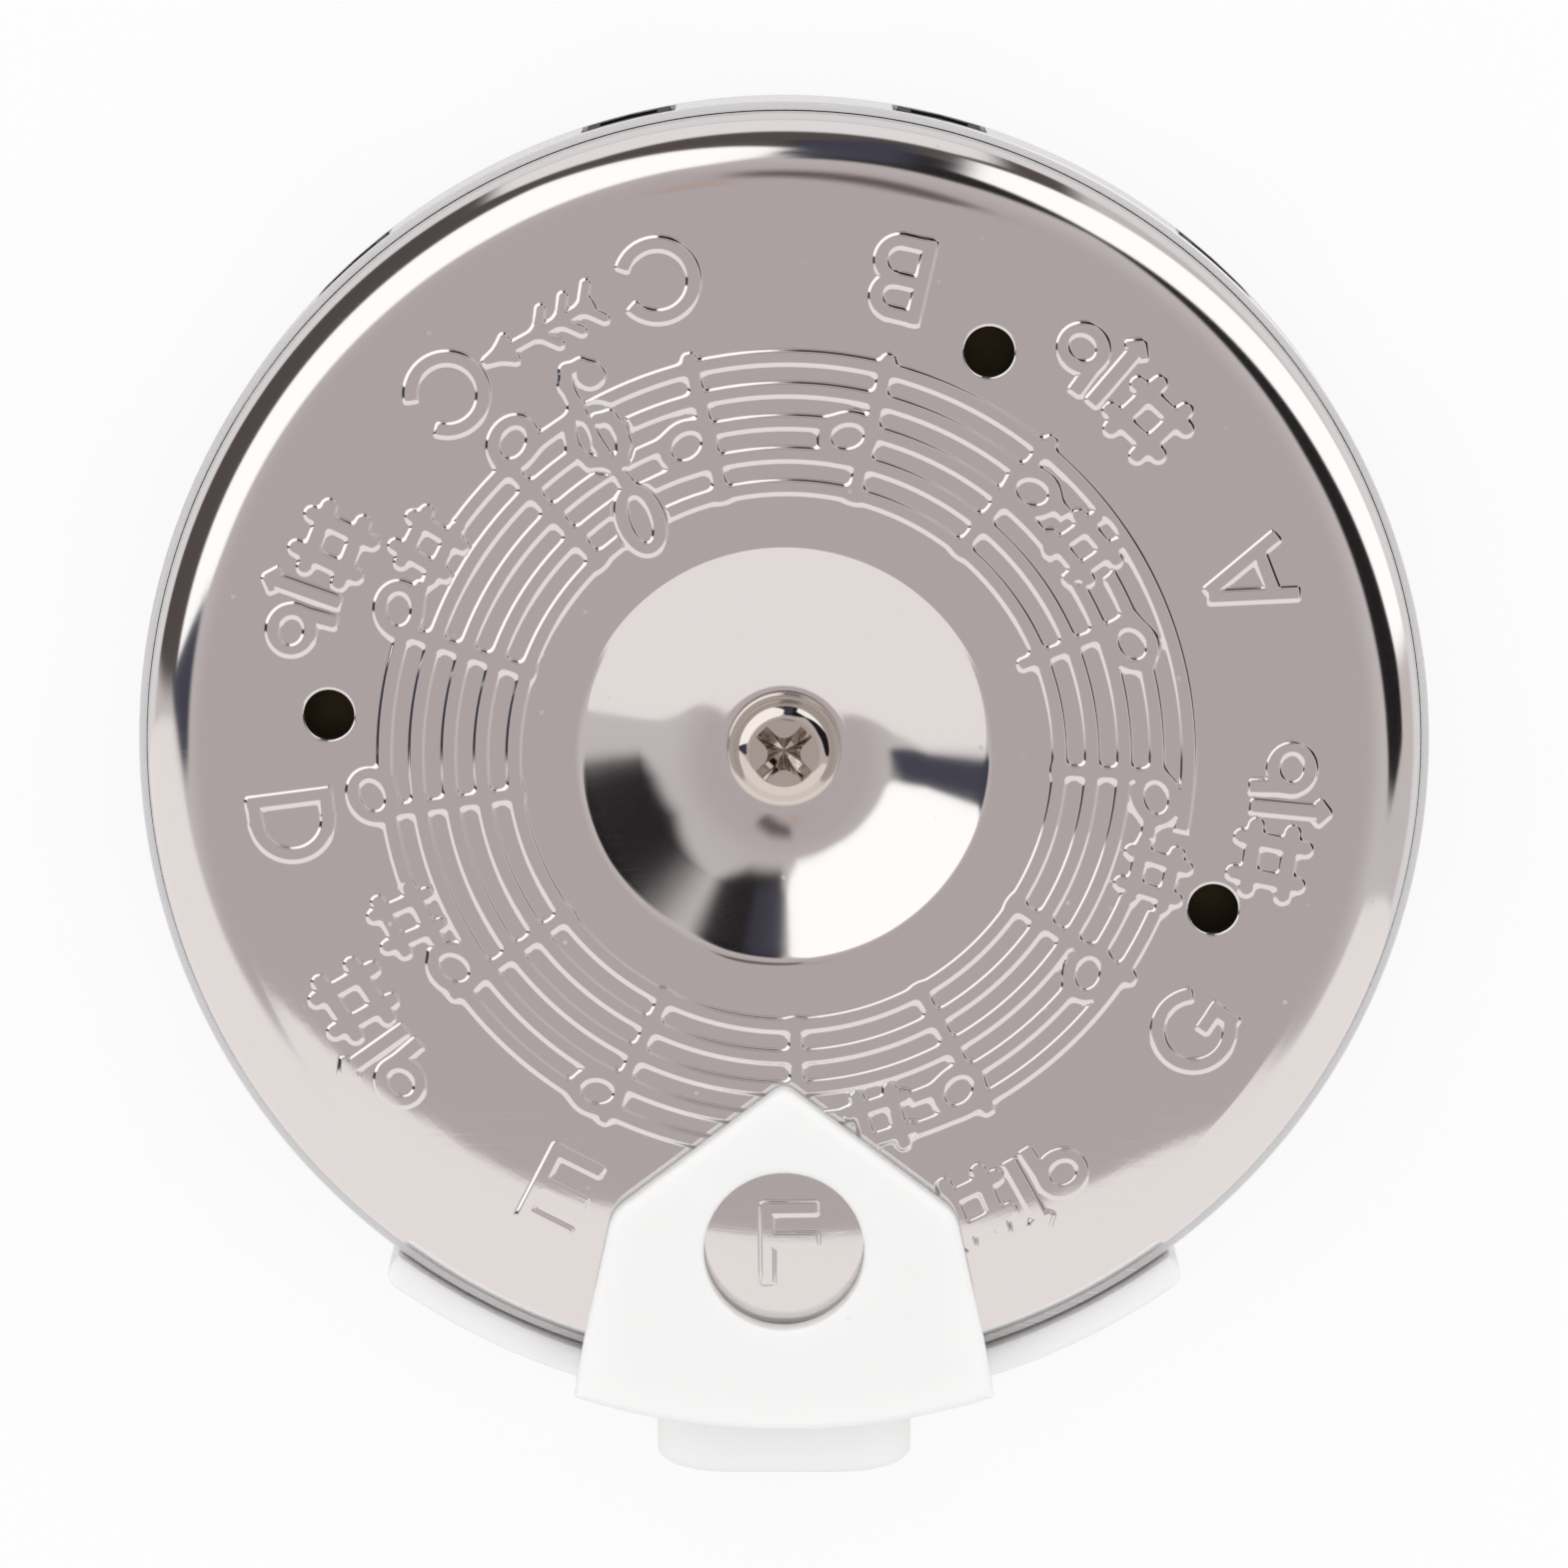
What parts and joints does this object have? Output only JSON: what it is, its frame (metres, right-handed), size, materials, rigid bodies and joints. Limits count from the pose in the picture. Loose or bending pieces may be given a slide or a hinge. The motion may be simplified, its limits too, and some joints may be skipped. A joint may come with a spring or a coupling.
{
  "type": "pitch pipe",
  "caption": "Round chromatic pitch pipe: a flat reed case between pressed metal covers, with a turning selector that carries the pointer window and the mouthpiece.",
  "frame": {"origin": "bottom centre of the bounding box: under the middle of the outline, on the plane that the back cover lies on", "axes": "+Z out of the front cover along the disc's axis, +Y from the mouthpiece towards the far rim, +X to the right seen from the front"},
  "size_m": [0.066, 0.071, 0.0138],
  "materials": {
    "chrome": "pressed sheet, bright chromed, with fine scratches",
    "pale_band": "thin bright band, lightly scuffed",
    "nickel": "nickel plated",
    "black_plastic": "moulded, matt",
    "brass": "rolled reed brass",
    "white_plastic": "moulded, satin gloss"
  },
  "bodies": {
    "case": {"front_cover": "chrome", "back_cover": "chrome", "rim_band": "pale_band", "reed_comb": "black_plastic", "reed_plate": "brass", "reed_01": "brass", "reed_02": "brass", "reed_03": "brass", "reed_04": "brass", "reed_05": "brass", "reed_06": "brass", "reed_07": "brass", "reed_08": "brass", "reed_09": "brass", "reed_10": "brass", "reed_11": "brass", "reed_12": "brass", "reed_13": "brass", "reed_rivet_01": "brass", "reed_rivet_02": "brass", "reed_rivet_03": "brass", "reed_rivet_04": "brass", "reed_rivet_05": "brass", "reed_rivet_06": "brass", "reed_rivet_07": "brass", "reed_rivet_08": "brass", "reed_rivet_09": "brass", "reed_rivet_10": "brass", "reed_rivet_11": "brass", "reed_rivet_12": "brass", "reed_rivet_13": "brass", "plate_screw_1": "nickel", "plate_screw_2": "nickel", "plate_screw_3": "nickel", "plate_screw_4": "nickel", "centre_screw": "nickel", "centre_washer": "nickel", "centre_nut": "nickel"},
    "selector": {"selector": "white_plastic"}
  },
  "joints": [
    {"name": "selector_turn", "type": "hinge", "parent": "case", "child": "selector", "pos_m": [0, 0.0025, 0], "axis": [0, 0, 1], "continuous": true}
  ]
}
